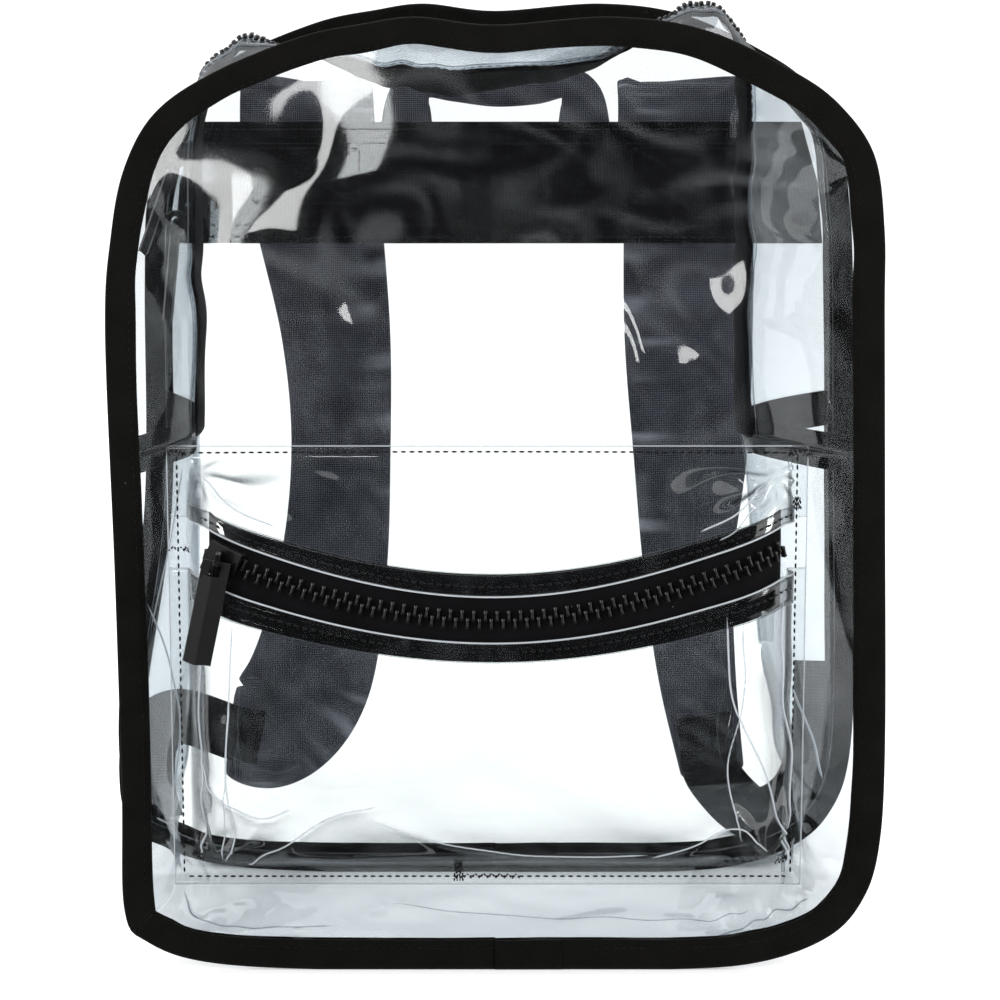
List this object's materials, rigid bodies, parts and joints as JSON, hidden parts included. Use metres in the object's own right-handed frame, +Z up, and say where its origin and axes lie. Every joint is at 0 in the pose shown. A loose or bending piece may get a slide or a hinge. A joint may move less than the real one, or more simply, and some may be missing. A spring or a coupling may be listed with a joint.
{
  "type": "clear stadium backpack",
  "caption": "Clear plastic backpack with black bound edges, an arched zip over the top and sides, a boxed zip pocket in front, padded straps and a rolled haul handle behind.",
  "frame": {"origin": "on the ground under the middle of the whole backpack's box", "axes": "+Z is up, the front with the pocket faces -Y, the wearer's back is towards +Y and +X is the right side seen from the front"},
  "size_m": [0.3252, 0.2128, 0.3865],
  "materials": {
    "clear_pvc": "clear soft PVC sheet, glossy",
    "binding_tape": "black fine ribbed binding tape",
    "zip_tape": "black woven polyester zip tape",
    "zip_chain": "black moulded zip teeth",
    "slider_metal": "black painted die-cast zip slider",
    "pull_plastic": "black moulded faceted zip pull",
    "strap_cloth": "charcoal plain-woven polyester over foam",
    "woven_webbing": "black ribbed polypropylene webbing"
  },
  "bodies": {
    "bag": {"front_panel": "clear_pvc", "back_panel": "clear_pvc", "front_binding": "binding_tape", "back_binding": "binding_tape", "upper_gusset_front": "clear_pvc", "upper_gusset_rear": "clear_pvc", "bottom_gusset": "clear_pvc", "main_zip_tape": "zip_tape", "main_zip_teeth": "zip_chain", "joint_tape_right": "binding_tape", "joint_tape_left": "binding_tape", "main_slider_1": "slider_metal", "main_slider_2": "slider_metal", "pocket_face": "clear_pvc", "pocket_top": "clear_pvc", "pocket_zip_tape": "zip_tape", "pocket_zip_teeth": "zip_chain", "pocket_slider": "slider_metal", "yoke_band": "woven_webbing", "shoulder_strap_right": "strap_cloth", "shoulder_strap_left": "strap_cloth", "strap_webbing_right": "woven_webbing", "strap_webbing_left": "woven_webbing", "haul_handle": "strap_cloth"},
    "main_pull_1": {"main_pull_1": "pull_plastic"},
    "main_pull_2": {"main_pull_2": "pull_plastic"},
    "pocket_pull": {"pocket_pull": "pull_plastic"}
  },
  "joints": [
    {"name": "main_pull_1_hinge", "type": "hinge", "parent": "bag", "child": "main_pull_1", "pos_m": [-0.12565, -0.00126, 0.32315], "axis": [0, 1, 0], "range_deg": [0, 150]},
    {"name": "main_pull_2_hinge", "type": "hinge", "parent": "bag", "child": "main_pull_2", "pos_m": [-0.12591, -0.00124, 0.29753], "axis": [0, 1, 0], "range_deg": [0, 25]},
    {"name": "pocket_pull_hinge", "type": "hinge", "parent": "bag", "child": "pocket_pull", "pos_m": [-0.10249, -0.10183, 0.17617], "axis": [-0.9781, 0, 0.2079], "range_deg": [-3.5, 150]}
  ]
}
